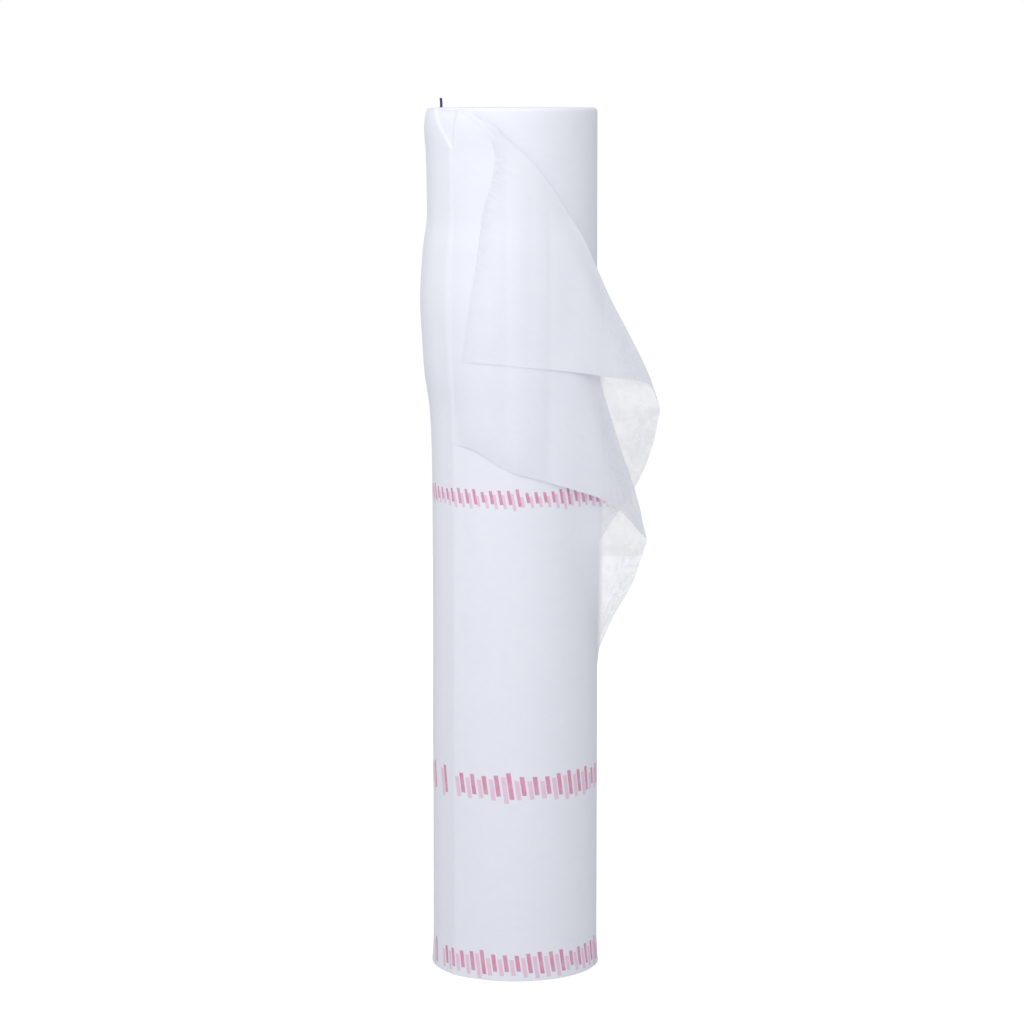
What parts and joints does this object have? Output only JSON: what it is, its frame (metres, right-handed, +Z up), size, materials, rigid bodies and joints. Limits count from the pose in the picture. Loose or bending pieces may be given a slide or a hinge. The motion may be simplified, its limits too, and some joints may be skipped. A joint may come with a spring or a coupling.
{
  "type": "roll of insulation netting",
  "caption": "Upright roll of thin white non-woven insulation netting, wound double on an open bore, with its loose end hanging at the top and both corners folded over.",
  "frame": {"origin": "on the roll's axis, at the floor under its lower end", "axes": "+Z up along the roll's axis, -Y towards the front, +X to the right, the way the loose end points"},
  "size_m": [0.3396, 0.264, 1.2322],
  "materials": {
    "wound_netting": "white spun-bonded web, many turns deep, faintly mottled",
    "loose_netting": "thin translucent white spun-bonded web with pale pink printed marks",
    "blue_plastic": "dark blue plastic"
  },
  "bodies": {
    "root": {"wound_roll": "wound_netting", "loose_outer_ply": "loose_netting", "loose_inner_ply": "loose_netting", "blue_peg": "blue_plastic"}
  },
  "joints": []
}
